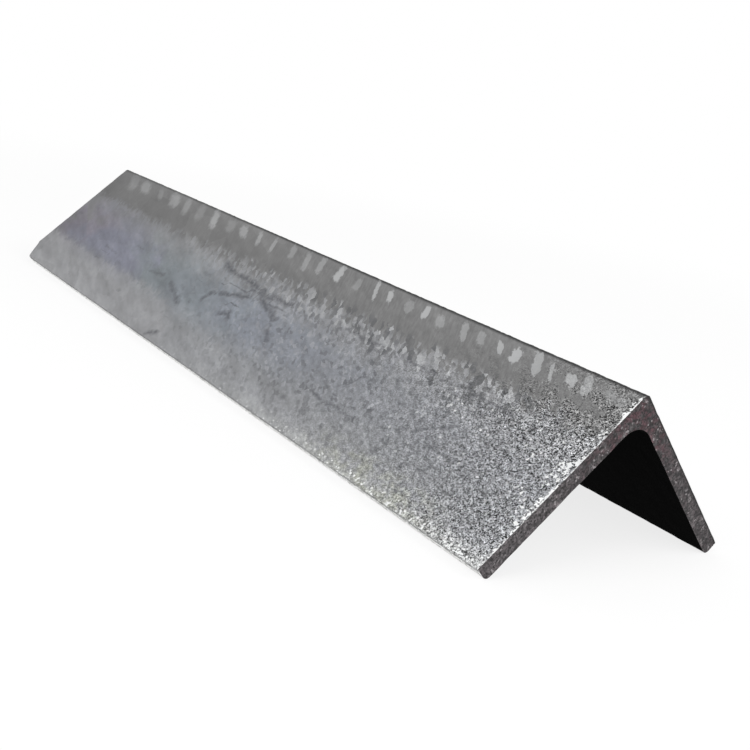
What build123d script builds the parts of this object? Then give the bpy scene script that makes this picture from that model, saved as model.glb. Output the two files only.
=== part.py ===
from build123d import *
import os
from math import sqrt

# One length of hot rolled equal angle, 75 x 75 x 6 mm, sawn off square at both ends.
# It stands like a tent: the heel is up and both toes are on the floor.
#
# Axes: +X runs along the bar, +Z is up, and the two legs spread towards -Y and +Y.
# The origin is on the floor, under the heel, halfway along the bar.
# Sizes are in millimetres.

# The rolled section
LEG_WIDTH = 75.0        # outside of each leg, from the heel to the toe
THICKNESS = 6.0         # the same in both legs
HEEL_RADIUS = 1.2       # outside corner, nearly sharp
ROOT_RADIUS = 7.5       # inside corner, the fillet that stiffens the section
TOE_RADIUS = 2.0        # inner corner of each toe; the outer corner is left sharp
LEAST_TOE_FLAT = 1.0    # what a thin leg keeps of its toe's flat face

# The cut length
LENGTH = 400.0

# The corner knocked off the -Y leg's toe at the -X end
KNOCK_ALONG = 7.0       # measured along the toe
KNOCK_ACROSS = 11.0     # measured across the end, from the toe towards the heel

# Each leg lies at 45 degrees, so the bar rests on the middle of the toes' rounded corners.
toe_radius = min(TOE_RADIUS, THICKNESS - LEAST_TOE_FLAT)
heel_height = (LEG_WIDTH + THICKNESS - 2 * toe_radius) / sqrt(2) + toe_radius

# The plane of the -X end. Its X runs down the -Y leg and its Y down the +Y leg.
end_plane = Plane(
    origin=(-LENGTH / 2, 0, heel_height), x_dir=(0, -1, -1), z_dir=(1, 0, 0)
)


def corners_at(sketch, *points):
    """The sketch's corners that lie at the given points."""
    return [
        corner
        for corner in sketch.vertices()
        if any((Vector(*corner) - Vector(*point)).length < 1e-6 for point in points)
    ]


def rolled_section():
    """The outline that the rolls leave, with the heel's sharp corner at (0, 0)."""
    outline = Polyline(
        (0, 0),
        (LEG_WIDTH, 0),
        (LEG_WIDTH, THICKNESS),
        (THICKNESS, THICKNESS),
        (THICKNESS, LEG_WIDTH),
        (0, LEG_WIDTH),
        close=True,
    )
    section = make_face(outline)
    section = fillet(corners_at(section, (0, 0)), HEEL_RADIUS)
    section = fillet(corners_at(section, (THICKNESS, THICKNESS)), ROOT_RADIUS)
    toes = corners_at(section, (LEG_WIDTH, THICKNESS), (THICKNESS, LEG_WIDTH))
    return fillet(toes, toe_radius)


def sawn_bar():
    """The section carried along the bar, from one square saw cut to the other."""
    return extrude(end_plane * rolled_section(), LENGTH)


def knocked_corner():
    """The wedge that is missing where the -X end meets the -Y leg's toe."""
    toe_corner = end_plane.from_local_coords((LEG_WIDTH, 0, 0))
    outer_face = Plane(origin=toe_corner, x_dir=(1, 0, 0), z_dir=end_plane.y_dir)
    wedge = make_face(
        Polyline((0, 0), (KNOCK_ALONG, 0), (0, -KNOCK_ACROSS), close=True)
    )
    return extrude(outer_face * wedge, THICKNESS)


def angle_section():
    """The finished bar, one solid."""
    return sawn_bar() - knocked_corner()


os.makedirs("parts", exist_ok=True)
bar = angle_section()
export_step(bar, "parts/angle_section.step")

print("heel height", round(heel_height, 3), "mm")
print("section area", round(rolled_section().area, 1), "mm2")
print("volume", round(bar.volume), "mm3")
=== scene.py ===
# %% [markdown]
# # A length of steel angle
# This lesson dresses one piece of rolled stock: an equal angle, 75 mm a leg, that stands like a tent
# on its two toes. The solid model is already exact, so the work here is the surface: the relief that
# the rolls, the scale and the saw leave, and the finish.

# %% Load the solid model
import math

import bmesh
import bpy
from mathutils import Euler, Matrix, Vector


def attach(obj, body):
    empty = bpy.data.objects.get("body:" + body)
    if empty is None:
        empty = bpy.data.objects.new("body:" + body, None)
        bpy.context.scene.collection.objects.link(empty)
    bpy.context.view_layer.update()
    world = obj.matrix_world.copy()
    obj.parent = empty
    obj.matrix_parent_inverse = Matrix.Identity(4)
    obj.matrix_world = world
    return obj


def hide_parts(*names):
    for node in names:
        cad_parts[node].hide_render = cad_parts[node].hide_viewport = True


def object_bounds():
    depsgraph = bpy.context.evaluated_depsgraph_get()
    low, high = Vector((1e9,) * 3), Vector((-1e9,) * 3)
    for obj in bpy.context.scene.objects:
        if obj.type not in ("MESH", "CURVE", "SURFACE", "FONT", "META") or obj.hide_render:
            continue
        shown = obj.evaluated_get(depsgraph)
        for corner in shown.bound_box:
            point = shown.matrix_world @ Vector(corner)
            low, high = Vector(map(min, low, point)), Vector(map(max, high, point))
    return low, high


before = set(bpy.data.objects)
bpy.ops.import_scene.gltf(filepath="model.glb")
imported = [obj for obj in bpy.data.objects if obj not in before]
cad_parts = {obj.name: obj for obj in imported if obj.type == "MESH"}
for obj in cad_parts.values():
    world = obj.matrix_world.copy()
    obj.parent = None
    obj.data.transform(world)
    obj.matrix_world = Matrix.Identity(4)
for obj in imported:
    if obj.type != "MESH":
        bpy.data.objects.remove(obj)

solid_low, solid_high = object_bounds()
print("solid model:", [round(1000 * side, 1) for side in solid_high - solid_low], "mm")

# %% [markdown]
# ## Sizes
# A leg lies at 45 degrees, so its width is the box's width over the square root of two. The wall and
# the radii are those of the rolled section. Lengths are in metres, as Blender's are.

# %% The section's sizes
MM = 0.001
COS_45 = math.sqrt(0.5)
LENGTH = solid_high.x - solid_low.x
LEG_WIDTH = (solid_high.y - solid_low.y) * COS_45
THICKNESS = 6.0 * MM
HEEL_RADIUS = 1.2 * MM
ROOT_RADIUS = 7.5 * MM
TOE_RADIUS = 2.0 * MM
HEEL_HEIGHT = (LEG_WIDTH + THICKNESS - 2 * TOE_RADIUS) * COS_45 + TOE_RADIUS
print(f"leg {LEG_WIDTH / MM:.2f} mm, heel {HEEL_HEIGHT / MM:.2f} mm above the floor")

# %% [markdown]
# ## One helper for every node
# Geometry Nodes and shader nodes are added in the same way, so one function serves both. It adds a
# node, sets its options, fills its inputs in order or by name, and returns its first output. Short
# names stand for the kinds that come up often, some of them with the operation that the node does.

# %% The node helper
PLUS = "ShaderNodeMath ADD"
MINUS = "ShaderNodeMath SUBTRACT"
TIMES = "ShaderNodeMath MULTIPLY"
OVER = "ShaderNodeMath DIVIDE"
TIMES_PLUS = "ShaderNodeMath MULTIPLY_ADD"
UNSIGNED = "ShaderNodeMath ABSOLUTE"
LARGER = "ShaderNodeMath MAXIMUM"
VECTOR_PLUS = "ShaderNodeVectorMath ADD"
VECTOR_MINUS = "ShaderNodeVectorMath SUBTRACT"
VECTOR_TIMES = "ShaderNodeVectorMath MULTIPLY"
VECTOR_TIMES_PLUS = "ShaderNodeVectorMath MULTIPLY_ADD"
SCALE = "ShaderNodeVectorMath SCALE"
RANGE = "ShaderNodeMapRange"
NOISE = "ShaderNodeTexNoise"
MIX = "ShaderNodeMix"
SPLIT = "ShaderNodeSeparateXYZ"
COMBINE = "ShaderNodeCombineXYZ"


def colour(hex_code):
    """An sRGB hex colour as the linear RGBA that shaders take."""
    parts = [int(hex_code[place : place + 2], 16) / 255 for place in (1, 3, 5)]
    linear = [p / 12.92 if p <= 0.04045 else ((p + 0.055) / 1.055) ** 2.4 for p in parts]
    return (*linear, 1.0)


def add(tree, kind, *values, stops=None, **settings):
    """Add a node to `tree` and return its first output.

    The kind may be followed by the node's operation. Values fill the inputs in order: a number, a
    colour, a node's output, a list of outputs, or None to leave one as it is. A dict among them fills
    inputs by name. Settings are the node's options, and stops are those of a colour ramp.
    """
    kind, *operation = kind.split()
    made = tree.nodes.new(kind)
    if operation:
        made.operation = operation[0]
    for option, choice in settings.items():
        setattr(made, option, choice)
    shown = [socket for socket in made.inputs if socket.enabled]
    fills = list(zip(shown, (value for value in values if not isinstance(value, dict))))
    for named in (value for value in values if isinstance(value, dict)):
        fills += [(next(s for s in shown if s.name == name), value) for name, value in named.items()]
    for socket, value in fills:
        for source in value if isinstance(value, list) else [value]:
            if isinstance(source, bpy.types.NodeSocket):
                tree.links.new(source, socket)
            elif source is not None:
                socket.default_value = source
    if stops:
        ramp = made.color_ramp.elements
        while len(ramp) < len(stops):
            ramp.new(0.5)
        for element, (position, tone) in zip(ramp, stops):
            element.position = position
            element.color = colour(tone)
    return next((socket for socket in made.outputs if socket.enabled), None)


def product(tree, first, *others):
    """All the values multiplied, each a number or an output."""
    for other in others:
        first = add(tree, TIMES, first, other)
    return first


def new_object(name, data):
    """An object in the scene."""
    made = bpy.data.objects.new(name, data)
    bpy.context.scene.collection.objects.link(made)
    return made


def new_tree(name, inputs, output):
    """A Geometry Nodes tree with named inputs, and the sockets that bring them in."""
    tree = bpy.data.node_groups.new(name, "GeometryNodeTree")
    for label, value in inputs.items():
        kind = {int: "Int", float: "Float"}.get(type(value), value)
        socket = tree.interface.new_socket(label, in_out="INPUT", socket_type=f"NodeSocket{kind}")
        if kind != value:
            socket.default_value = value
    tree.interface.new_socket(output, in_out="OUTPUT", socket_type="NodeSocketGeometry")
    return tree, tree.nodes.new("NodeGroupInput").outputs


# %% [markdown]
# ## The bar as a rule
# A rolled bar is one section carried along a line. A subdivided cube gives a closed skin with an even
# grid: its X runs along the bar, its Y from toe to toe, and its Z through the wall. Two filleted
# curves, the outside and the inside of the section, tell each point of the grid where it goes. The
# grid is fine enough to carry relief.

# %% The tree and its named sizes
shape, given = new_tree(
    "rolled angle",
    {
        "Length": LENGTH,
        "Leg Width": LEG_WIDTH,
        "Thickness": THICKNESS,
        "Heel Radius": HEEL_RADIUS,
        "Root Radius": ROOT_RADIUS,
        "Toe Radius": TOE_RADIUS,
        "Heel Height": HEEL_HEIGHT,
        "Steps Along": 400,
        "Steps Across": 112,
        "Steps Through": 6,
        "Knock Along": 7 * MM,
        "Knock Across": 11 * MM,
        "Mark Depth": 0.12 * MM,
        "Crack Depth": 0.25 * MM,
        "Pit Depth": 0.08 * MM,
        "Waviness": 0.15 * MM,
        "Edge Wear": 0.35 * MM,
        "Cracks": "Object",
        "Outer Finish": "Material",
        "Inner Finish": "Material",
        "Sawn Finish": "Material",
        "Seed": 4,
    },
    output="Bar",
)
print("rolled angle:", len(given) - 1, "named inputs")


# %% The section's two outlines
def section_curve(points, radii, arc_steps):
    """A polyline through `points` of the section, each corner rounded by its own radius."""
    index = add(shape, "GeometryNodeInputIndex")
    switches = {}
    for data_type in ("VECTOR", "FLOAT"):
        switch = add(shape, "GeometryNodeIndexSwitch", data_type=data_type).node
        while len(switch.index_switch_items) < len(points):
            switch.index_switch_items.new()
        shape.links.new(index, switch.inputs[0])
        switches[data_type] = switch
    for number, (corner, radius) in enumerate(zip(points, radii), start=1):
        place = add(shape, COMBINE, *corner)
        shape.links.new(place, switches["VECTOR"].inputs[number])
        if radius is not None:
            shape.links.new(radius, switches["FLOAT"].inputs[number])
    dots = add(shape, "GeometryNodePoints", len(points), switches["VECTOR"].outputs[0])
    line = add(shape, "GeometryNodePointsToCurves", dots)
    return add(
        shape,
        "GeometryNodeFilletCurve",
        {"Curve": line, "Radius": switches["FLOAT"].outputs[0], "Count": arc_steps},
        mode="POLY",
    )


leg, wall = given["Leg Width"], given["Thickness"]
heel_r, root_r, toe_r = given["Heel Radius"], given["Root Radius"], given["Toe Radius"]
toe_flat = add(shape, MINUS, wall, toe_r)
half_flat = add(shape, TIMES, toe_flat, 0.5)
outside = section_curve([(leg, 0), (0, 0), (0, leg)], [None, heel_r, None], arc_steps=12)
inside = section_curve(
    [(leg, half_flat), (leg, wall), (wall, wall), (wall, leg), (half_flat, leg)],
    [None, toe_r, root_r, toe_r, None],
    arc_steps=16,
)

# %% [markdown]
# ### Where the grid is fine
# Even steps would waste faces in the middle of a flat leg and starve the heel, the toes and the sawn
# ends. Taking a sine from the even steps draws them together there, and their count stays.

# %% The cube's grid, drawn together at the heel, the toes and the ends
steps = [add(shape, PLUS, given[name], 1) for name in ("Steps Along", "Steps Across", "Steps Through")]
cube = add(shape, "GeometryNodeMeshCube", (1, 1, 1), *steps)
grid_place = add(shape, "GeometryNodeInputPosition")
even = add(shape, VECTOR_PLUS, grid_place, (0.5, 0.5, 0.5))
even = add(shape, SPLIT, even).node.outputs


def gathered(factor, waves, strength):
    """`factor` from 0 to 1, with its steps drawn together at the start of every wave."""
    turn = 2 * math.pi * waves
    angle = add(shape, TIMES, factor, turn)
    sine = add(shape, "ShaderNodeMath SINE", angle)
    return add(shape, TIMES_PLUS, sine, -strength / turn, factor)


along = gathered(even["X"], waves=1, strength=0.4)
across = gathered(even["Y"], waves=2, strength=0.5)
depth = add(shape, MINUS, 1, even["Z"])

# %% [markdown]
# ### From the grid to the bar
# A point's place in the section is found on both outlines and mixed by its depth in the wall. The
# section's own axes run down the two legs, so a turn of 45 degrees stands it on its toes.

# %% The point's place in the section
sampled = [
    add(
        shape,
        "GeometryNodeSampleCurve",
        {"Curves": outline, "Factor": across},
        mode="FACTOR",
        data_type="FLOAT_VECTOR",
        use_all_curves=True,
    ).node.outputs["Position"]
    for outline in (outside, inside)
]
in_section = add(shape, MIX, depth, *sampled, data_type="VECTOR")
in_section = add(shape, SPLIT, in_section).node.outputs
down_near, down_far = in_section["X"], in_section["Y"]
from_back = add(shape, TIMES, along, given["Length"])
from_front = add(shape, MINUS, given["Length"], from_back)

# %% [markdown]
# One corner of the bar is knocked off, where the back end meets the near leg's toe. The skin is drawn
# in there, from the toe to the middle of the leg, which keeps the mesh closed and its faces even.

# %% The knocked corner
knock_run = add(shape, OVER, from_back, given["Knock Along"])
knock_bite = add(shape, MINUS, 1, knock_run, use_clamp=True)
torn = add(shape, NOISE, {"Vector": grid_place, "Scale": 60, "Detail": 2})
torn = add(shape, RANGE, torn, 0.3, 0.7, 0.85, 1.0)
near_share = add(shape, OVER, down_near, leg)
near_share = add(shape, RANGE, near_share, 0.5, 1.0, 0.0, 1.0, interpolation_type="SMOOTHSTEP")
knocked = product(shape, knock_bite, torn, near_share, given["Knock Across"])
down_near = add(shape, MINUS, down_near, knocked)

# %% The standing bar
half_length = add(shape, TIMES, given["Length"], 0.5)
x = add(shape, MINUS, from_back, half_length)
spread = add(shape, MINUS, down_far, down_near)
y = add(shape, TIMES, spread, COS_45)
drop = add(shape, PLUS, down_far, down_near)
z = add(shape, TIMES_PLUS, drop, -COS_45, given["Heel Height"])
stood = add(shape, COMBINE, x, y, z)
print("the bar stands:", len(shape.nodes), "nodes so far")

# %% [markdown]
# ### Places on the flattened bar
# Every mark on a rolled bar runs with or across it, so the patterns read places on the bar as if it
# were flattened: how far from the front end, how far from the heel (less than nothing on the near
# leg) and how deep in the wall. The grid knows these, and an attribute hands them to the relief and
# to the materials. A UV map of the same strips serves whoever bakes the finish.

# %% The flattened place
signed = add(shape, MINUS, down_far, down_near)
deep = add(shape, TIMES, depth, given["Thickness"])
flat = add(shape, COMBINE, from_front, signed, deep)

# %% [markdown]
# The UV map lays six strips side by side, a small gap between them: the outer skin, the inner skin
# and the two toes one above the other, and the two sawn ends upright beside them. The cube's face
# normals say which strip a face is in.

# %% Lay out the UV map
UV_GAP = 2 * MM
UV_WIDE = LENGTH + 2 * THICKNESS + 4 * UV_GAP
UV_TALL = 4 * LEG_WIDTH + 2 * THICKNESS + 5 * UV_GAP
grid_normal = add(shape, "GeometryNodeInputNormal").node.outputs["Normal"]
face_normal = add(shape, "GeometryNodeFieldOnDomain", grid_normal, domain="FACE", data_type="FLOAT_VECTOR")
normal_part = add(shape, SPLIT, face_normal).node.outputs


def strip(wide, tall, width, height, left, bottom):
    """One strip of the UV map: two fields from 0 to 1, the strip's size, and its corner."""
    u = add(shape, TIMES_PLUS, wide, width / UV_WIDE, left / UV_WIDE)
    v = add(shape, TIMES_PLUS, tall, height / UV_TALL, bottom / UV_TALL)
    return add(shape, COMBINE, u, v)


skin_tall = 2 * LEG_WIDTH
inner_bottom = skin_tall + 2 * UV_GAP
toe_bottom = inner_bottom + skin_tall + UV_GAP
end_left = LENGTH + 2 * UV_GAP
strips = {
    ("Z", 1): strip(along, across, LENGTH, skin_tall, UV_GAP, UV_GAP),
    ("Z", -1): strip(along, across, LENGTH, skin_tall, UV_GAP, inner_bottom),
    ("Y", -1): strip(along, depth, LENGTH, THICKNESS, UV_GAP, toe_bottom),
    ("Y", 1): strip(along, depth, LENGTH, THICKNESS, UV_GAP, toe_bottom + THICKNESS + UV_GAP),
    ("X", 1): strip(depth, across, THICKNESS, skin_tall, end_left, UV_GAP),
    ("X", -1): strip(depth, across, THICKNESS, skin_tall, end_left + THICKNESS + UV_GAP, UV_GAP),
}
uv_place = None
for (axis, side), laid in strips.items():
    facing = add(shape, TIMES, normal_part[axis], side * 0.5)
    here = add(shape, "ShaderNodeMath GREATER_THAN", facing, 0.25)
    part = add(shape, SCALE, laid, here)
    uv_place = part if uv_place is None else add(shape, VECTOR_PLUS, uv_place, part)
print("UV map:", len(strips), "strips,", round(UV_WIDE / MM), "by", round(UV_TALL / MM), "mm")

# %% [markdown]
# Which side a face is on is noted while the grid is still a cube, where that is plain to see, and the
# finishes follow it later. It is stored with the flattened place and the UV map. Then the skin moves
# to its place.

# %% Store the attributes, and stand the skin up
is_end = add(shape, UNSIGNED, normal_part["X"])
is_sawn = add(shape, "FunctionNodeCompare GREATER_THAN", is_end, 0.5)
is_inner = add(shape, "FunctionNodeCompare LESS_THAN", normal_part["Z"], -0.5)
skin = cube
for name, value, data_type, domain in (
    ("flat", flat, "FLOAT_VECTOR", "POINT"),
    ("OFBake", uv_place, "FLOAT2", "CORNER"),
    ("sawn_side", is_sawn, "BOOLEAN", "FACE"),
    ("inner_side", is_inner, "BOOLEAN", "FACE"),
):
    skin = add(
        shape,
        "GeometryNodeStoreNamedAttribute",
        skin,
        {"Name": name, "Value": value},
        data_type=data_type,
        domain=domain,
    )
skin = add(shape, "GeometryNodeSetPosition", skin, {"Position": stood})

# %% [markdown]
# ## Marks of the rolling mill
# Beside the heel runs a row of pale leaning patches, one every 8 to 18 mm, where a guide pressed the
# hot bar again and again. A short tree of its own lays out their middles on the flattened bar. The
# bar's tree then asks for the nearest middle and gives each patch a size and a lean by chance.

# %% The tree of guide marks
marks, wanted = new_tree(
    "guide marks",
    {
        "Count": 31,
        "First": 4.5 * MM,
        "Pitch": 7.4 * MM,
        "Pitch Growth": 0.17 * MM,
        "From Heel": 6.3 * MM,
        "Wander Along": 2.4 * MM,
        "Wander Across": 0.8 * MM,
        "Side": -1.0,
        "Seed": 0,
    },
    output="Marks",
)
index = add(marks, "GeometryNodeInputIndex")
growth = add(marks, TIMES_PLUS, index, wanted["Pitch Growth"], wanted["Pitch"])
place_along = add(marks, TIMES_PLUS, index, growth, wanted["First"])
place_across = add(marks, TIMES, wanted["From Heel"], wanted["Side"])
place = add(marks, COMBINE, place_along, place_across)
wander = add(
    marks,
    "FunctionNodeRandomValue",
    (-1, -1, 0),
    (1, 1, 0),
    {"Seed": wanted["Seed"]},
    data_type="FLOAT_VECTOR",
)
reach = add(marks, COMBINE, wanted["Wander Along"], wanted["Wander Across"])
place = add(marks, VECTOR_TIMES_PLUS, wander, reach, place)
spots = add(marks, "GeometryNodePoints", wanted["Count"], place)
add(marks, "NodeGroupOutput", spots)
print("guide marks:", len(marks.nodes), "nodes")

# %% [markdown]
# The scale has also cracked here and there as the bar cooled and was straightened. These few cracks
# don't repeat, so they are short polylines listed on the flattened near leg. The far leg gets them too,
# moved along the bar.

# %% List the cracks
CRACKS_MM = [
    [(35, 27), (44, 26.5), (56, 26.6)],
    [(76, 26.4), (93, 26.7)],
    [(109, 26.4), (130, 26.6)],
    [(50, 40), (57, 44), (68, 52)],
    [(39, 50.3), (53, 50.7)],
    [(91, 56), (98, 56.4), (102, 55.2), (110, 56.4), (121, 55.6)],
    [(105, 40.4), (108, 47.6)],
    [(173, 28.6), (181, 29), (189, 28.8)],
    [(203, 28.7), (210, 27.5), (222, 27.2)],
    [(225, 27.2), (235, 26), (237, 24.9)],
    [(174, 38.2), (179, 36.3), (185, 35.1), (194, 32), (197, 28.3)],
    [(201, 34), (211, 36.6), (220, 39.3)],
    [(166, 47), (172, 43.5)],
    [(200, 47.6), (203, 45), (208, 47.6)],
    [(226, 41), (228, 46)],
    [(232, 70), (238, 73)],
    [(121, 27), (134, 26.6)],
    [(240, 53), (250, 49.5), (259, 47)],
    [(270, 45), (283, 46.6)],
    [(305, 38.4), (313, 38.8)],
    [(323, 47.6), (338, 46.8)],
    [(332, 54.5), (336, 54.5)],
    [(288, 63.2), (290, 63.2)],
    [(391, 37.2), (394, 37.4)],
]
FAR_LEG_SHIFT_MM = 120
WRAP_JUMP = LENGTH / 4


def laid_on(side, shift):
    """The cracks' points, in metres, on one leg of the flattened bar, moved along it."""
    length_mm = LENGTH / MM
    return [
        [((along_mm + shift) % length_mm * MM, side * across_mm * MM, 0) for along_mm, across_mm in crack]
        for crack in CRACKS_MM
    ]


crack_points, crack_edges = [], []
for crack in laid_on(-1, 0) + laid_on(1, FAR_LEG_SHIFT_MM):
    first = len(crack_points)
    crack_points += crack
    for start in range(first, len(crack_points) - 1):
        # A crack that is moved past the back end goes on at the front, with no line between.
        if abs(crack_points[start + 1][0] - crack_points[start][0]) < WRAP_JUMP:
            crack_edges.append((start, start + 1))
crack_mesh = bpy.data.meshes.new("cracks")
crack_mesh.from_pydata(crack_points, crack_edges, [])
crack_object = new_object("cracks", crack_mesh)
print("cracks:", len(crack_edges), "edges")

# %% [markdown]
# ## Relief
# The marks are pressed in by a tenth of a millimetre, the cracks are deeper, and the scale is pitted.
# All relief goes inwards along the normal, so the bar never grows past its rolled size. Each point of
# the skin also remembers its place within the nearest mark, and the nearest crack. The finish works
# on from these, which keeps its borders sharp on a coarse grid.

# %% Find the nearest mark
flat_place = add(shape, "GeometryNodeInputNamedAttribute", "flat", data_type="FLOAT_VECTOR")
flat_part = add(shape, SPLIT, flat_place).node.outputs
from_heel = add(shape, UNSIGNED, flat_part["Y"])
on_skin = add(shape, VECTOR_TIMES, flat_place, (1, 1, 0))
rows = []
for side in (-1.0, 1.0):
    row = add(shape, "GeometryNodeGroup", node_tree=marks)
    row.node.inputs["Side"].default_value = side
    seed = add(shape, PLUS, given["Seed"], side)
    shape.links.new(seed, row.node.inputs["Seed"])
    rows.append(row)
all_marks = add(shape, "GeometryNodeJoinGeometry", rows)
mark = add(shape, "GeometryNodeSampleNearest", all_marks, on_skin, domain="POINT")
middle = add(
    shape,
    "GeometryNodeSampleIndex",
    {"Geometry": all_marks, "Value": add(shape, "GeometryNodeInputPosition"), "Index": mark},
    data_type="FLOAT_VECTOR",
    domain="POINT",
)
middle = add(shape, SPLIT, middle).node.outputs

# %% [markdown]
# Within a mark, one axis runs along the bar and one away from the heel. Both count from the mark's
# middle and reach 1 at its border, and the first leans with the mark. Towards the back end the marks
# are wider and shorter and lean more, as if the bar had slowed down there.

# %% The place within the mark
chances = {}
for name, low, high in (("wide", 0.9, 2.7), ("tall", 2.6, 5.4), ("lean", 0.3, 0.8), ("wear", 0.3, 1.0)):
    chances[name] = add(
        shape,
        "FunctionNodeRandomValue",
        low,
        high,
        {"ID": mark, "Seed": len(chances)},
        data_type="FLOAT",
    )
half_wide = add(shape, RANGE, flat_part["X"], 0.2 * LENGTH, LENGTH, 1 * MM, 1.7 * MM)
half_wide = add(shape, TIMES, chances["wide"], half_wide)
half_tall = add(shape, RANGE, flat_part["X"], 0.3 * LENGTH, LENGTH, 1 * MM, 0.72 * MM)
half_tall = add(shape, TIMES, chances["tall"], half_tall)
lean = add(shape, RANGE, flat_part["X"], 0.5 * LENGTH, 0.8 * LENGTH, 0, 0.5)
lean = add(shape, PLUS, chances["lean"], lean)
mark_from_heel = add(shape, UNSIGNED, middle["Y"])
mark_v = add(shape, MINUS, from_heel, mark_from_heel)
mark_u = add(shape, MINUS, flat_part["X"], middle["X"])
mark_u = add(shape, TIMES_PLUS, lean, mark_v, mark_u)
mark_u = add(shape, OVER, mark_u, half_wide)
mark_u = add(shape, UNSIGNED, mark_u)
mark_v = add(shape, OVER, mark_v, half_tall)
mark_v = add(shape, UNSIGNED, mark_v)
crack_lines = add(shape, "GeometryNodeObjectInfo", given["Cracks"], transform_space="ORIGINAL")
near_crack = add(
    shape,
    "GeometryNodeProximity",
    {"Geometry": crack_lines.node.outputs["Geometry"], "Sample Position": on_skin},
    target_element="EDGES",
).node.outputs
kept = {"mark": add(shape, COMBINE, mark_u, mark_v, chances["wear"]), "crack_point": near_crack["Position"]}
for name, value in kept.items():
    skin = add(
        shape,
        "GeometryNodeStoreNamedAttribute",
        skin,
        {"Name": name, "Value": value},
        data_type="FLOAT_VECTOR",
        domain="POINT",
    )

# %% Add up the relief
TOE_REACH = 2.5 * MM
HEEL_REACH = 1.5 * MM
CRACK_REACH = 1.2 * MM
is_outer = add(shape, RANGE, flat_part["Z"], 0, 1 * MM, 1, 0)
is_toe = add(shape, RANGE, from_heel, LEG_WIDTH - TOE_REACH, LEG_WIDTH, 0, 1)
is_heel = add(shape, RANGE, from_heel, 0, HEEL_REACH, 1, 0)
is_heel = add(shape, TIMES, is_heel, is_outer)
is_arris = add(shape, LARGER, is_heel, is_toe)
noises = {}
for name, size in (("pits", 5 * MM), ("waves", 70 * MM), ("nibbles", 9 * MM), ("teeth", 2.2 * MM)):
    noises[name] = add(shape, NOISE, {"Vector": flat_place, "Scale": 1 / size, "Detail": 2})
mark_reach = add(shape, LARGER, mark_u, mark_v)
teeth = add(shape, RANGE, noises["teeth"], 0.35, 0.65, 0, 1)
reliefs = {
    "Mark Depth": add(shape, RANGE, mark_reach, 0.7, 1.1, 1, 0),
    "Crack Depth": add(shape, RANGE, near_crack["Distance"], 0, CRACK_REACH, 1, 0),
    "Pit Depth": add(shape, RANGE, noises["pits"], 0.4, 0.62, 0, 1),
    "Waviness": add(shape, RANGE, noises["waves"], 0.3, 0.7, 0, 1),
    "Edge Wear": add(shape, TIMES, teeth, is_arris),
}
sunk = None
for name, share in reliefs.items():
    if name in ("Mark Depth", "Crack Depth"):
        share = add(shape, TIMES, share, is_outer)
    sunk = add(shape, TIMES_PLUS, share, given[name], 0 if sunk is None else sunk)
normal = add(shape, "GeometryNodeInputNormal").node.outputs["Normal"]
inwards = add(shape, TIMES, sunk, -1)
offset = add(shape, SCALE, normal, inwards)

# %% [markdown]
# A saw leaves an end that is square but not perfect. The first few millimetres at each end are pulled
# in along the bar by a slow noise, so the cut edge wanders by up to a third of a millimetre.

# %% Let the sawn ends wander
END_REACH = 5 * MM
from_back_now = add(shape, MINUS, given["Length"], flat_part["X"])
pull = None
for distance, sign in ((flat_part["X"], -1), (from_back_now, 1)):
    close = add(shape, RANGE, distance, 0, END_REACH, sign, 0, interpolation_type="SMOOTHSTEP")
    pull = close if pull is None else add(shape, PLUS, pull, close)
pull = product(shape, pull, noises["nibbles"], given["Edge Wear"])
pull = add(shape, COMBINE, pull)
offset = add(shape, VECTOR_PLUS, offset, pull)
skin = add(shape, "GeometryNodeSetPosition", skin, {"Offset": offset})

# %% Shade it smooth with sharp arrises, and give each side its finish
ARRIS_ANGLE = math.radians(38)
angle = add(shape, "GeometryNodeInputMeshEdgeAngle")
is_smooth = add(shape, "FunctionNodeCompare LESS_THAN", angle, ARRIS_ANGLE)
skin = add(shape, "GeometryNodeSetShadeSmooth", skin, {"Shade Smooth": True}, domain="FACE")
skin = add(shape, "GeometryNodeSetShadeSmooth", skin, {"Shade Smooth": is_smooth}, domain="EDGE")
skin = add(shape, "GeometryNodeRealizeInstances", skin)
skin = add(shape, "GeometryNodeSetMaterial", skin, None, given["Outer Finish"])
for name, finish in (("inner_side", "Inner Finish"), ("sawn_side", "Sawn Finish")):
    here = add(shape, "GeometryNodeInputNamedAttribute", name, data_type="BOOLEAN")
    skin = add(shape, "GeometryNodeSetMaterial", skin, here, given[finish])
add(shape, "NodeGroupOutput", skin)
print("rolled angle:", len(shape.nodes), "nodes")


# %% [markdown]
# ## Finish: hot-rolled mill scale
# Hot-rolled steel leaves the mill under a skin of blue-grey iron oxide, the mill scale. To the eye it
# is a soft half-metal: matt, mottled, tinted where the oxide is thin, pale where it is worn, and
# grainy where it has been rubbed off. Its nodes read the flattened place, in millimetres.

# %% What the finishes have in common
def places(tree):
    """The place in mm: the flattened vector, along the bar from the front, down from the heel."""
    flat = add(tree, "ShaderNodeAttribute", attribute_name="flat").node.outputs["Vector"]
    flat_mm = add(tree, SCALE, flat, 1 / MM)
    part = add(tree, SPLIT, flat_mm).node.outputs
    return flat_mm, part["X"], add(tree, UNSIGNED, part["Y"])


def patches(tree, place, turn, long, wide, detail, low, high):
    """Streaks `long` by `wide` mm, turned by degrees: 0 where their noise is low, 1 where high."""
    stretched = add(
        tree,
        "ShaderNodeMapping",
        {"Vector": place, "Rotation": (0, 0, math.radians(turn)), "Scale": (long, wide, wide)},
        vector_type="TEXTURE",
    )
    noise = add(tree, NOISE, {"Vector": stretched, "Scale": 1, "Detail": detail, "Roughness": 0.6})
    return add(tree, RANGE, noise, low, high, 0, 1)


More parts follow.
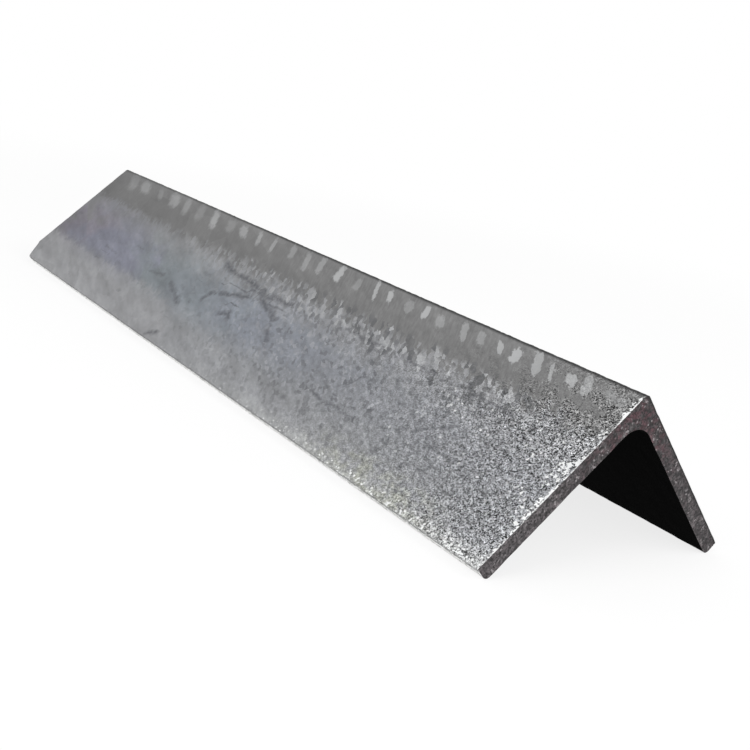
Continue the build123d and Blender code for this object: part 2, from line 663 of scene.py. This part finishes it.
def plates(tree, place, turn, long, wide):
    """Plates `long` by `wide` mm, turned by degrees: each has three shares of its own by chance."""
    stretched = add(
        tree,
        "ShaderNodeMapping",
        {"Vector": place, "Rotation": (0, 0, math.radians(turn)), "Scale": (long, wide, wide)},
        vector_type="TEXTURE",
    )
    shade = add(tree, "ShaderNodeTexVoronoi", {"Vector": stretched, "Scale": 1}).node.outputs["Color"]
    return add(tree, "ShaderNodeSeparateColor", shade).node.outputs


def profile(tree, value, stops):
    """A share that runs in straight lines through the stops, each a value and its share."""
    share = stops[0][1]
    for (start, first), (stop, last) in zip(stops, stops[1:]):
        step = add(tree, RANGE, value, start, stop, 0, last - first)
        share = add(tree, PLUS, step, share)
    return share


def tinted(tree, tone, hex_code, *shares):
    """The tone with a colour mixed in by all the shares multiplied."""
    return add(tree, MIX, product(tree, *shares), tone, colour(hex_code), data_type="RGBA")


def scaled(tree, tone, swing, share, depth):
    """The tone made darker and paler by a swing from 0 to 1 about its middle."""
    about = add(tree, MINUS, swing, 0.5)
    factor = add(tree, TIMES_PLUS, product(tree, about, share), 2 * depth, 1)
    return add(tree, SCALE, tone, factor)


def surface(tree, height, strength, bump_mm, inputs):
    """End a tree with relief from a height, the shader with its inputs, and the output."""
    bump = add(tree, "ShaderNodeBump", {"Height": height, "Strength": strength, "Distance": bump_mm * MM})
    shader = add(tree, "ShaderNodeBsdfPrincipled", {**inputs, "Normal": bump})
    add(tree, "ShaderNodeOutputMaterial", shader)


def new_finish(name):
    """A material with an empty node tree."""
    material = bpy.data.materials.new(name)
    material.use_nodes = True
    material.node_tree.nodes.clear()
    return material, material.node_tree


# %% Mill scale, the outer skin
scale_finish, tree = new_finish("hot-rolled mill scale")
flat_mm, along_mm, down_mm = places(tree)

# %% [markdown]
# ### The bands from heel to toe
# A dark line at the heel, which is painted shade where the rounded heel turns away from the light, a
# smooth dark band, a ragged border at 20 to 30 mm, then the broad blue-grey field, paler towards the
# toe. One ramp holds these tones. It reads the distance from the heel after a noise has pushed it
# about, which makes the borders ragged.

# %% The bands
RUFFLE_SIZE = 2.5
RUFFLE_REACH = 3
ruffle = add(tree, NOISE, {"Vector": flat_mm, "Scale": 1 / RUFFLE_SIZE, "Detail": 2}).node.outputs["Color"]
ruffle = add(tree, VECTOR_MINUS, ruffle, (0.5, 0.5, 0.5))
ruffled = add(tree, VECTOR_TIMES_PLUS, ruffle, (RUFFLE_REACH, RUFFLE_REACH, 0), flat_mm)
flakes = plates(tree, ruffled, turn=52, long=4.4, wide=1.6)
rag = add(tree, MINUS, flakes["Red"], 0.5)
rag = add(tree, TIMES, rag, profile(tree, along_mm, [(200, 1), (320, 0.4)]))
rag_reach = profile(tree, down_mm, [(11, 0), (18, 9), (28, 9), (45, 3)])
ragged = add(tree, TIMES_PLUS, rag, rag_reach, down_mm)
share_down = add(tree, OVER, ragged, LEG_WIDTH / MM)
# The first two stops, the dark line at the heel, are painted shade of the rounded heel.
BAND_STOPS = [
    (0.000, "#181818"),
    (0.014, "#181818"),
    (0.028, "#7c7c7c"),
    (0.130, "#777777"),
    (0.270, "#727272"),
    (0.310, "#858688"),
    (0.440, "#959698"),
    (0.500, "#888a8c"),
    (0.650, "#87898b"),
    (1.000, "#929396"),
]
tone = add(tree, "ShaderNodeValToRGB", share_down, stops=BAND_STOPS)
tone = tinted(
    tree,
    tone,
    "#a8a9a9",
    profile(tree, down_mm, [(68, 0), (71, 0.45), (73.5, 1)]),
    profile(tree, along_mm, [(80, 1), (150, 0.5), (220, 0.12), (340, 0.12), (380, 0.5)]),
)
sallow = patches(tree, flat_mm, turn=0, long=7, wide=4, detail=2, low=0.42, high=0.6)
tone = tinted(
    tree,
    tone,
    "#a3a591",
    sallow,
    profile(tree, down_mm, [(62, 0), (68, 0.4)]),
    profile(tree, along_mm, [(20, 0), (45, 1), (75, 1), (110, 0)]),
)
# Towards the back end the heel's painted shade gives way to a mid grey.
tone = tinted(
    tree,
    tone,
    "#7a7a7a",
    profile(tree, down_mm, [(1.7, 1), (2.6, 0)]),
    profile(tree, along_mm, [(220, 0), (360, 0.35)]),
)

# %% [markdown]
# ### Temper colours
# Where the oxide is thin it tints like tempered steel: blue, a little green, then violet towards the
# back end. The tints change slowly along the bar, so a second ramp reads the distance from the front.

# %% The temper colours
TINT_STOPS = [
    (0.00, "#88898c"),
    (0.25, "#86888d"),
    (0.45, "#80858f"),
    (0.60, "#80878e"),
    (0.70, "#7d858a"),
    (0.78, "#7f8190"),
    (0.88, "#7e8090"),
    (0.95, "#837e8b"),
    (1.00, "#7e7d80"),
]
drift = patches(tree, flat_mm, turn=0, long=40, wide=22, detail=3, low=0.25, high=0.75)
big_plates = plates(tree, ruffled, turn=20, long=22, wide=7)
DRIFT_REACH = 60
PLATE_REACH = 24
TINT_START = (DRIFT_REACH + PLATE_REACH) / 2
tint_place = add(tree, TIMES_PLUS, drift, DRIFT_REACH, along_mm)
tint_place = add(tree, TIMES_PLUS, big_plates["Red"], PLATE_REACH, tint_place)
tint_place = add(tree, RANGE, tint_place, TINT_START, LENGTH / MM + TINT_START, 0, 1)
tint = add(tree, "ShaderNodeValToRGB", tint_place, stops=TINT_STOPS)
tint_rise = add(tree, PLUS, ragged, profile(tree, along_mm, [(280, 0), (380, 5)]))
tint_share = product(
    tree,
    profile(tree, tint_rise, [(24, 0), (40, 0.85)]),
    profile(tree, ragged, [(50, 1), (62, 0)]),
)
tone = add(tree, MIX, tint_share, tone, tint, data_type="RGBA")

# %% Cloudy patches as big as a thumb, and the thin pale scale at the toe near the back end
# The tone grows darker towards the back end.
DIM_STOPS = [(180, 1), (250, 0.94), (300, 0.9), (350, 0.84), (385, 0.78), (398, 0.7)]
tone = add(tree, SCALE, tone, profile(tree, along_mm, DIM_STOPS))
cloud = patches(tree, flat_mm, turn=0, long=18, wide=18, detail=3, low=0.3, high=0.7)
tone = scaled(tree, tone, cloud, 1, depth=0.05)
THIN_STARTS = 304
thin = add(tree, PLUS, down_mm, along_mm)
thin = add(tree, TIMES_PLUS, drift, 16, thin)
thin = add(tree, RANGE, thin, THIN_STARTS, THIN_STARTS + 3, 0, 1)
thin_toe = add(tree, TIMES_PLUS, rag, 6, down_mm)
thin_toe = add(tree, RANGE, thin_toe, 53, 56, 0, 0.45)
tone = tinted(tree, tone, "#9c9c9e", thin, thin_toe)

# %% [markdown]
# ### Plates, flakes and flecks
# Scale breaks into plates a few millimetres wide, each with its own shade. Below the smooth band they
# lift at one edge as slanted flakes, pale above and dark beneath. In the broad field the smallest
# plates are dark flecks or pale facets. All of them lean the same way and fade towards the back end.

# %% Plates of scale
small_plates = plates(tree, ruffled, turn=25, long=4.5, wide=2.4)
small_share = profile(tree, along_mm, [(0, 0.2), (40, 1), (190, 1), (300, 0.2)])
tone = scaled(tree, tone, small_plates["Red"], small_share, depth=0.04)
strokes = patches(tree, flat_mm, turn=60, long=5, wide=1.1, detail=3, low=0.3, high=0.7)
stroke_share = product(
    tree,
    profile(tree, down_mm, [(1, 1), (24, 1), (34, 0)]),
    profile(tree, along_mm, [(0, 0.3), (25, 1), (120, 1), (220, 0.4), (400, 0.2)]),
)
tone = scaled(tree, tone, strokes, stroke_share, depth=0.16)
big_share = profile(tree, along_mm, [(60, 0), (180, 1)])
tone = scaled(tree, tone, big_plates["Green"], big_share, depth=0.08)

# %% The slanted flakes
flake_along = profile(tree, along_mm, [(8, 0.3), (25, 1), (120, 1), (170, 0.7), (240, 0.3), (310, 0)])
pale = profile(tree, ragged, [(18.5, 0), (21, 1), (25, 1), (29, 0)])
pale = product(tree, pale, flake_along, add(tree, RANGE, flakes["Green"], 0.2, 0.9, 0, 1))
tone = add(tree, MIX, pale, tone, colour("#adaeb0"), data_type="RGBA")
dark = profile(tree, down_mm, [(14, 0), (18, 1), (28, 1), (36, 0)])
dark_flakes = add(tree, RANGE, flakes["Blue"], 0.4, 0.1, 0, 0.8)
tone = tinted(tree, tone, "#57585a", dark, flake_along, dark_flakes)

# %% Dark flecks and pale facets of the broad field
fleck_plates = plates(tree, ruffled, turn=28, long=2.4, wide=1.2)
FLECK_STOPS = [(15, 0.2), (50, 1), (140, 1), (190, 0.6), (240, 0.25), (400, 0.1)]
fleck_share = product(
    tree,
    profile(tree, along_mm, FLECK_STOPS),
    profile(tree, down_mm, [(17, 0), (26, 1), (58, 1), (72, 0.5)]),
)
is_fleck = add(tree, RANGE, fleck_plates["Blue"], 0.4, 0, 0, 0.6)
tone = tinted(tree, tone, "#58595d", is_fleck, fleck_share)
is_facet = add(tree, RANGE, fleck_plates["Green"], 0.7, 0.95, 0, 0.5)
tone = tinted(tree, tone, "#a4a5a9", is_facet, fleck_share)

# %% The pale guide marks
mark = add(tree, "ShaderNodeAttribute", attribute_name="mark").node.outputs["Vector"]
mark_part = add(tree, SPLIT, mark).node.outputs
cubes = [product(tree, mark_part[axis], mark_part[axis], mark_part[axis]) for axis in "XY"]
mark_reach = add(tree, PLUS, *cubes)
mark_reach = add(tree, "ShaderNodeMath POWER", mark_reach, 1 / 3)
mark_rag = patches(tree, flat_mm, turn=40, long=3, wide=1.8, detail=3, low=0.25, high=0.75)
mark_edge = add(tree, TIMES_PLUS, mark_rag, 0.8, mark_reach)
mark_soft = profile(tree, along_mm, [(60, 1.4), (200, 1.7), (400, 2.3)])
is_mark = add(tree, RANGE, mark_edge, 1.2, mark_soft, 1, 0)
FADE_STOPS = [(4, 0.2), (10, 0.9), (35, 0.75), (60, 1), (200, 0.85), (400, 0.25)]
mark_fade = profile(tree, along_mm, FADE_STOPS)
mark_share = product(tree, is_mark, mark_part["Z"], mark_fade)
tone = add(tree, MIX, mark_share, tone, colour("#b2b3b4"), data_type="RGBA")

# %% [markdown]
# ### Rubbed grain
# Towards the front end the scale is rubbed through on every peak of the rough steel, so it turns to
# salt and pepper: bright metal against dark pits. The real grit is finer than a picture of the whole
# bar can show, so the grains are drawn 0.4 mm and up. They fade along the bar, and gather near the
# front arris and along the toe. In the dark band, islands of whole scale stay smooth among them.

# %% The grain
GRAIN_REACH = 36
smooth = add(tree, RANGE, mark_share, 0, 0.8, 1, 0.2)
whole = patches(tree, flat_mm, turn=40, long=9, wide=5, detail=3, low=0.46, high=0.58)
whole = product(tree, whole, profile(tree, down_mm, [(2, 0.4), (6, 0.8), (18, 0.8), (28, 0)]))
smooth = product(tree, smooth, add(tree, RANGE, whole, 0, 1, 1, 0))
grain_along = add(tree, MINUS, drift, 0.5)
grain_along = add(tree, TIMES_PLUS, grain_along, GRAIN_REACH, along_mm)
kept_band = profile(tree, down_mm, [(12, 1.9), (20, 1.8), (30, 1)])
grain_along = product(tree, grain_along, kept_band)
salt = plates(tree, flat_mm, turn=0, long=0.42, wide=0.36)["Red"]
SALT_STOPS = [(0, 1.15), (12, 0.95), (25, 0.8), (50, 0.5), (80, 0.25), (130, 0.05), (200, 0)]
salt_share = profile(tree, grain_along, SALT_STOPS)
SALT_DOWN = [(4, 0.8), (14, 1.5), (20, 1.6), (28, 1.2), (34, 0.85), (64, 0.75)]
salt_down = profile(tree, down_mm, SALT_DOWN)
salt_share = product(tree, salt_share, salt_down, smooth)
tone = scaled(tree, tone, salt, salt_share, depth=1.65)
GRAINS = [
    # turn, length, width in mm, how strong at most, and its share along the bar
    (0, 1.1, 0.9, 0.36, [(0, 1), (20, 0.8), (45, 0.5), (80, 0.2), (130, 0.05), (400, 0)]),
    (30, 2.6, 1.7, 0.5, [(0, 0.7), (30, 0.9), (80, 0.6), (150, 0.2), (220, 0)]),
    (20, 24, 7, 0.2, [(40, 0.2), (120, 0.7), (200, 1), (300, 1), (400, 0.8)]),
]
grain_height = product(tree, salt, salt_share)
for turn, long, wide, depth, stops in GRAINS:
    grain = patches(tree, flat_mm, turn, long, wide, detail=2, low=0.28, high=0.72)
    share = product(tree, profile(tree, grain_along, stops), smooth)
    tone = scaled(tree, tone, grain, share, depth)
    grain_height = add(tree, TIMES_PLUS, grain, share, grain_height)

# %% Bright grains of bare steel, painted white as glints
bright = plates(tree, flat_mm, turn=0, long=0.85, wide=0.75)["Green"]
gathered_here = patches(tree, flat_mm, turn=0, long=7, wide=9, detail=2, low=0.4, high=0.58)
BRIGHT_IN = [(0, 0.95), (1.5, 0.75), (4, 0.48), (8, 0.22), (25, 0.12), (60, 0.12), (100, 0)]
BRIGHT_DOWN = [(10, 0), (16, 0.25), (24, 0.4), (29, 1), (36, 1)]
BRIGHT_DOWN += [(41, 0.5), (49, 0.9), (58, 0.5), (65, 0.15)]
bright_front = product(
    tree,
    gathered_here,
    profile(tree, along_mm, BRIGHT_IN),
    profile(tree, down_mm, BRIGHT_DOWN),
)
bright_toe = product(
    tree,
    profile(tree, down_mm, [(68, 0), (72, 0.12), (75, 0.3)]),
    profile(tree, along_mm, [(0, 0.5), (3, 1.5), (10, 1.4), (20, 1), (40, 1), (160, 0.2), (300, 0)]),
)
bright = add(tree, PLUS, bright, bright_front)
bright = add(tree, PLUS, bright, bright_toe)
# Bare steel and painted glints: these grains are painted near white.
bright_grain_and_painted_glint = add(tree, RANGE, bright, 1.0, 1.12, 0, 0.9)
tone = add(tree, MIX, bright_grain_and_painted_glint, tone, colour("#eceded"), data_type="RGBA")

# %% [markdown]
# ### Cracks, spots and the sawn arris
# The cracks are dark hairlines, and a few round spots are where scale has popped off. The saw has
# left a burr along the front arris, broken into grains, and it is painted white as the highlight
# that the arris catches.

# %% Cracks
WOBBLE_SIZE = 2.2
WOBBLE_REACH = 3
wobble = add(tree, NOISE, {"Vector": flat_mm, "Scale": 1 / WOBBLE_SIZE, "Detail": 3}).node.outputs["Color"]
wobble = add(tree, VECTOR_MINUS, wobble, (0.5, 0.5, 0.5))
wobbled = add(tree, VECTOR_TIMES_PLUS, wobble, (WOBBLE_REACH, WOBBLE_REACH, 0), flat_mm)
wobbled = add(tree, VECTOR_TIMES, wobbled, (1, 1, 0))
wander = add(tree, NOISE, {"Vector": flat_mm, "Scale": 1 / 7, "Detail": 1})
crack_point = add(tree, "ShaderNodeAttribute", attribute_name="crack_point").node.outputs["Vector"]
crack_point = add(tree, SCALE, crack_point, 1 / MM)
crack_gap = add(tree, "ShaderNodeVectorMath DISTANCE", wobbled, crack_point).node.outputs["Value"]
crack_wide = profile(tree, along_mm, [(120, 1.1), (200, 2.2), (250, 2.2), (290, 1.2)])
crack_wide = product(tree, crack_wide, add(tree, RANGE, wander, 0.35, 0.65, 0.7, 1.15))
crack_gap = add(tree, OVER, crack_gap, crack_wide)
is_crack = add(tree, RANGE, crack_gap, 0.1, 1.1, 1, 0)
crack_depth = add(tree, RANGE, mark_rag, 0.2, 0.6, 0.35, 0.8)
is_outer = add(tree, SPLIT, flat_mm).node.outputs["Z"]
is_outer = add(tree, RANGE, is_outer, 0, 1, 1, 0)
crack_fade = profile(tree, along_mm, [(150, 0.8), (200, 1), (240, 1), (290, 0.5)])
tone = tinted(tree, tone, "#4a4b50", is_crack, is_outer, crack_depth, crack_fade)

# %% Spots where the scale has popped off
SPOT_SPACING_MM = 30
cells = add(tree, "ShaderNodeTexVoronoi", {"Vector": flat_mm, "Scale": 1 / SPOT_SPACING_MM}).node.outputs
spot_gap = add(tree, TIMES, cells["Distance"], SPOT_SPACING_MM)
is_spot = add(tree, RANGE, spot_gap, 0.6, 1.8, 0.5, 0)
tone = add(tree, MIX, is_spot, tone, colour("#505155"), data_type="RGBA")

# %% The burr on the front arris, painted white as a highlight
burr_width = patches(tree, flat_mm, turn=0, long=4, wide=2.5, detail=3, low=0.35, high=0.6)
BURR_DOWN = [(1.5, 0.1), (3, 2.4), (12, 2), (16, 0.3), (26, 0.7)]
BURR_DOWN += [(34, 0.6), (46, 2.6), (58, 2), (75, 1.2)]
burr_more = profile(tree, down_mm, BURR_DOWN)
burr_width = product(tree, burr_width, burr_more)
burr_gap = add(tree, MINUS, along_mm, burr_width)
burr_and_painted_highlight = add(tree, RANGE, burr_gap, -0.2, 0.3, 1, 0)
burr_grit = plates(tree, flat_mm, turn=0, long=0.7, wide=0.7)["Blue"]
burr_and_painted_highlight = product(tree, burr_and_painted_highlight, add(tree, RANGE, burr_grit, 0.35, 0.5, 0, 1))
# Painted highlight: the burr's grains are painted near white.
tone = add(tree, MIX, burr_and_painted_highlight, tone, colour("#f2f3f3"), data_type="RGBA")

# %% Sheen and roughness of the scale
bare = add(tree, LARGER, bright_grain_and_painted_glint, burr_and_painted_highlight)
metal = add(tree, RANGE, bare, 0, 1, 0.4, 0.9)
rough = add(tree, RANGE, cloud, 0, 1, 0.54, 0.64)
rough = add(tree, TIMES_PLUS, mark_share, -0.12, rough)
rough = add(tree, TIMES_PLUS, bare, -0.15, rough)
height = add(tree, TIMES_PLUS, pale, 1, grain_height)
surface(tree, height, 0.5, 0.08, {"Base Color": tone, "Metallic": metal, "Roughness": rough})
print("mill scale:", len(tree.nodes), "nodes")

# %% [markdown]
# ## Finish: the inner skin, dark scale with painted shade
# Inside the angle nothing rubs, so the scale stays whole: a dense, matt skin of magnetite, painted
# nearly black as the deep shade inside the angle. It has hardly any shine. The edges of the toes, on
# which the bar is dragged about, are rubbed bright in grains, and they are painted near white, as
# light on the toe flats that face the floor in shade.

# %% The inner skin
inner_finish, tree = new_finish("hot-rolled mill scale, inner, painted shade")
flat_mm, _, down_mm = places(tree)
cloud = patches(tree, flat_mm, turn=0, long=14, wide=14, detail=5, low=0.35, high=0.65)
# Nearly black: the dark scale with the deep shade inside the angle painted in.
tone = add(tree, "ShaderNodeValToRGB", cloud, stops=[(0, "#010101"), (1, "#050505")])
toe_start = (LEG_WIDTH - THICKNESS) / MM
# The toe flats face the floor in shade; they are painted near white, partly rubbed steel and partly painted
# light.
toe_wear_and_painted_light = add(tree, RANGE, down_mm, toe_start - 1, toe_start + 1, 0, 1)
tone = add(tree, MIX, toe_wear_and_painted_light, tone, colour("#f0f0ee"), data_type="RGBA")
toe_grit = plates(tree, flat_mm, turn=0, long=0.9, wide=0.9)["Red"]
tone = scaled(tree, tone, toe_grit, toe_wear_and_painted_light, depth=0.5)
grain = patches(tree, flat_mm, turn=0, long=0.9, wide=0.9, detail=2, low=0.3, high=0.7)
metal = add(tree, TIMES, toe_wear_and_painted_light, 0.8)
rough = add(tree, RANGE, toe_wear_and_painted_light, 0, 1, 0.9, 0.45)
dull = {"Base Color": tone, "Metallic": metal, "Roughness": rough, "Specular IOR Level": 0.02}
surface(tree, grain, 0.5, 0.05, dull)
print("inner skin:", len(tree.nodes), "nodes")

# %% [markdown]
# ## Finish: the sawn end
# A band saw leaves fine lines across the cut, and the bare cut rusts at once to a dull brown-grey. It
# is redder at the root, where the cut stayed wet longest.

# %% The sawn end
sawn_finish, tree = new_finish("sawn steel, lightly rusted")
flat_mm, _, down_mm = places(tree)
object_place = add(tree, "ShaderNodeTexCoord").node.outputs["Object"]
object_mm = add(tree, SCALE, object_place, 1 / MM)
blotch = patches(tree, object_mm, turn=0, long=3, wide=3, detail=3, low=0.3, high=0.7)
tone = add(tree, "ShaderNodeValToRGB", blotch, stops=[(0, "#2c282a"), (0.5, "#413e3f"), (1, "#595556")])
red = patches(tree, object_mm, turn=0, long=2.5, wide=2.5, detail=3, low=0.42, high=0.6)
red_share = profile(tree, down_mm, [(6, 0.8), (32, 0.1)])
tone = tinted(tree, tone, "#54383e", red, red_share)
flat_part = add(tree, SPLIT, flat_mm).node.outputs
rubbed = profile(tree, flat_part["Y"], [(-50, 0.5), (-25, 0)])
tone = add(tree, MIX, rubbed, tone, colour("#605c5e"), data_type="RGBA")
grit = plates(tree, object_mm, turn=0, long=0.6, wide=0.6)
tone = scaled(tree, tone, grit["Red"], 1, depth=0.8)
grime = patches(tree, object_mm, turn=0, long=1.3, wide=1.3, detail=2, low=0.3, high=0.7)
tone = scaled(tree, tone, grime, 1, depth=0.5)
# Painted glints: pale specks on the cut where it would catch the light.
painted_glint = add(tree, TIMES_PLUS, blotch, 0.25, grit["Green"])
painted_glint = add(tree, RANGE, painted_glint, 1.07, 1.13, 0, 0.7)
tone = add(tree, MIX, painted_glint, tone, colour("#b4aeb0"), data_type="RGBA")
# Painted shade: a dark rim on the far leg's end, at its outer arris, for its outer skin seen edge-on.
painted_rim_shade = add(tree, RANGE, flat_part["Z"], 0.3, 0.9, 0.9, 0)
far_side = add(tree, RANGE, flat_part["Y"], -1, 1, 0, 1)
tone = tinted(tree, tone, "#121212", painted_rim_shade, far_side)

# %% [markdown]
# The saw's teeth leave fine level lines, which catch the light by their relief and hardly by tone.

# %% Lines of the saw
SAW_LINE_MM = 1.1
saw = add(
    tree,
    "ShaderNodeTexWave",
    {"Vector": object_mm, "Scale": 1 / SAW_LINE_MM / 6, "Distortion": 2.0, "Detail": 2},
    bands_direction="Z",
)
tone = scaled(tree, tone, saw, 1, depth=0.06)
height = add(tree, TIMES_PLUS, saw, 0.5, grit["Red"])
surface(tree, height, 0.6, 0.06, {"Base Color": tone, "Metallic": 0.2, "Roughness": 0.65})
print("sawn end:", len(tree.nodes), "nodes")

# %% [markdown]
# ## Make the bar
# An empty mesh carries the tree as a modifier. Its inputs are set by their identifiers before anything
# is evaluated. The result is then copied out as a plain mesh, and the carrier and the cracks' lines
# are thrown away.

# %% Run the tree
carrier = new_object("bar_carrier", bpy.data.meshes.new("bar_carrier"))
modifier = carrier.modifiers.new("rolled angle", "NODES")
modifier.node_group = shape
identifiers = {item.name: item.identifier for item in shape.interface.items_tree}
modifier[identifiers["Cracks"]] = crack_object
modifier[identifiers["Outer Finish"]] = scale_finish
modifier[identifiers["Inner Finish"]] = inner_finish
modifier[identifiers["Sawn Finish"]] = sawn_finish
evaluated = carrier.evaluated_get(bpy.context.evaluated_depsgraph_get())
bar_mesh = bpy.data.meshes.new_from_object(evaluated)
bar_mesh.materials.pop(index=0)
bar = new_object("rolled_bar", bar_mesh)
for helper in (carrier, crack_object):
    bpy.data.objects.remove(helper)

# %% Measure it
shell = bmesh.new()
shell.from_mesh(bar_mesh)
print("bar:", len(shell.faces), "faces,", round(shell.calc_volume() * 1e6, 1), "cm3")
shell.free()
print("materials:", [material and material.name for material in bar_mesh.materials])
print("faces of each:", [sum(f.material_index == n for f in bar_mesh.polygons) for n in range(3)])

# %% Fix it to the frame
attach(bar, "root")
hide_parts("angle_section")

# %% [markdown]
# ## Studio
# A plain pale floor, a soft lamp above each side of the bar and a white surrounding. What the camera
# and the shiny metal see as background is pure white. The light that falls on the bar is weaker, so
# its greys come out as they are written.

# %% The floor
FLOOR_SIDE = 6.0
FADE_STARTS = 0.3
FADE_ENDS = 1.0
half = FLOOR_SIDE / 2
floor_mesh = bpy.data.meshes.new("floor")
corners = [(-half, -half, 0), (half, -half, 0), (half, half, 0), (-half, half, 0)]
floor_mesh.from_pydata(corners, [], [(0, 1, 2, 3)])
floor = new_object("floor", floor_mesh)
floor_finish, tree = new_finish("pale studio floor")


def seen_directly(tree):
    """1 for what the camera, a reflection or a view through glass sees, 0 for scattered light."""
    path = add(tree, "ShaderNodeLightPath").node.outputs
    seen = add(tree, LARGER, path["Is Camera Ray"], path["Is Glossy Ray"])
    return add(tree, LARGER, seen, path["Is Transmission Ray"])


FLOOR_GLOW = 0.8
object_place = add(tree, "ShaderNodeTexCoord").node.outputs["Object"]
away = add(tree, "ShaderNodeVectorMath LENGTH", object_place).node.outputs["Value"]
open_floor = add(tree, RANGE, away, FADE_STARTS, FADE_ENDS, 0, 1, interpolation_type="SMOOTHSTEP")
glow = add(tree, "ShaderNodeEmission", (1, 1, 1, 1), FLOOR_GLOW)
shadowed = add(tree, "ShaderNodeBsdfDiffuse", colour("#7c7c7c"))
near_floor = add(tree, "ShaderNodeAddShader", glow, shadowed)
white = add(tree, "ShaderNodeEmission", (1, 1, 1, 1), 1.0)
backdrop = add(tree, "ShaderNodeMixShader", open_floor, near_floor, white)
bounce = add(tree, "ShaderNodeBsdfDiffuse", colour("#808080"))
floor_shader = add(tree, "ShaderNodeMixShader", seen_directly(tree), bounce, backdrop)
add(tree, "ShaderNodeOutputMaterial", floor_shader)
floor_mesh.materials.append(floor_finish)

# %% The surrounding
WORLD_LIGHT = 0.65
world = bpy.data.worlds.new("white studio")
world.use_nodes = True
bpy.context.scene.world = world
tree = world.node_tree
tree.nodes.clear()
level = add(tree, RANGE, seen_directly(tree), 0, 1, WORLD_LIGHT, 1.0)
background = add(tree, "ShaderNodeBackground", (1, 1, 1, 1), level)
add(tree, "ShaderNodeOutputWorld", background)


# %% The lamps
BAR_MIDDLE = Vector((0, 0, 0.03))


def soft_lamp(name, place, side, watts):
    """A square lamp that looks at the bar's middle."""
    lamp = bpy.data.lights.new(name, "AREA")
    lamp.size = side
    lamp.energy = watts
    lamp_object = new_object(name, lamp)
    lamp_object.location = place
    to_bar = BAR_MIDDLE - Vector(place)
    lamp_object.rotation_euler = to_bar.to_track_quat("-Z", "Y").to_euler()


soft_lamp("key_lamp", (0.2, -1.1, 1.1), side=1.0, watts=8)
soft_lamp("fill_lamp", (0.9, 1.0, 0.9), side=1.0, watts=4)
soft_lamp("end_lamp", (1.3, -0.2, 0.5), side=1.0, watts=5)

# %% [markdown]
# The camera stands close to the sawn end, above the heel's height, and looks back along the near leg,
# so the front end is seen much larger than the back end. It is rolled by eleven degrees, so the heel
# runs down across the picture.

# %% The camera
LENS = 55.87
CAMERA_PLACE = (0.42250, -0.27108, 0.13028)
CAMERA_TURN = (75.792, -10.895, 55.595)
camera_data = bpy.data.cameras.new("camera")
camera_data.lens = LENS
camera_data.sensor_width = 36
camera = new_object("camera", camera_data)
camera.location = CAMERA_PLACE
camera.rotation_euler = Euler([math.radians(turn) for turn in CAMERA_TURN], "XYZ")
bpy.context.scene.camera = camera
bpy.context.scene.view_settings.view_transform = "Standard"
